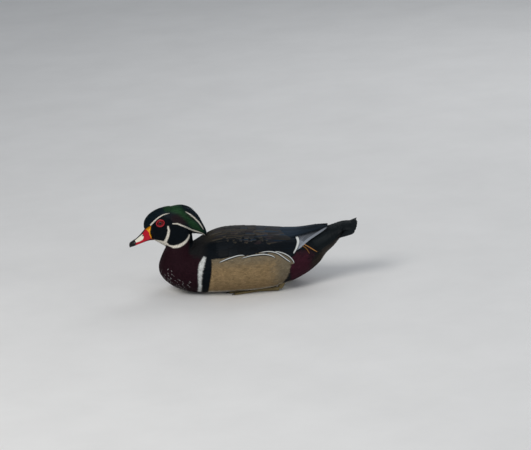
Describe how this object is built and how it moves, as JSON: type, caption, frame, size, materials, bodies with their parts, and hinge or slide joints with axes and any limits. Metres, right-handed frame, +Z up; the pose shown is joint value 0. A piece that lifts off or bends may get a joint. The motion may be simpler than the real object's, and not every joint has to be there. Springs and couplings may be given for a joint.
{
  "type": "wood duck",
  "caption": "Life-size drake wood duck at rest on its belly, with a swept-back crest, folded wings, fanned tail and tucked feet.",
  "frame": {"origin": "on the floor, under the middle of the bird's length and width", "axes": "the bird faces -X, its left side is towards -Y, and +Z is up"},
  "size_m": [0.3698, 0.1376, 0.1411],
  "materials": {
    "body_plumage": "soft feathers",
    "head_plumage": "glossy iridescent feathers",
    "tail_plumage": "satin feathers",
    "wing_plumage": "satin feathers",
    "flank_plumage": "soft barred feathers",
    "leg_skin": "matte scaled skin",
    "eye": "wet gloss",
    "eyelid": "bare skin",
    "bill": "satin horn"
  },
  "bodies": {
    "root": {"torso": "body_plumage", "neck": "body_plumage", "head": "head_plumage", "crest": "head_plumage", "tail": "tail_plumage", "wing_left": "wing_plumage", "wing_right": "wing_plumage", "flank_left": "flank_plumage", "flank_right": "flank_plumage", "leg_left": "leg_skin", "leg_right": "leg_skin", "foot_left": "leg_skin", "foot_right": "leg_skin", "eye_left": "eye", "eye_right": "eye", "eyelids_left": "eyelid", "eyelids_right": "eyelid", "bill_upper": "bill", "bill_lower": "bill"}
  },
  "joints": []
}
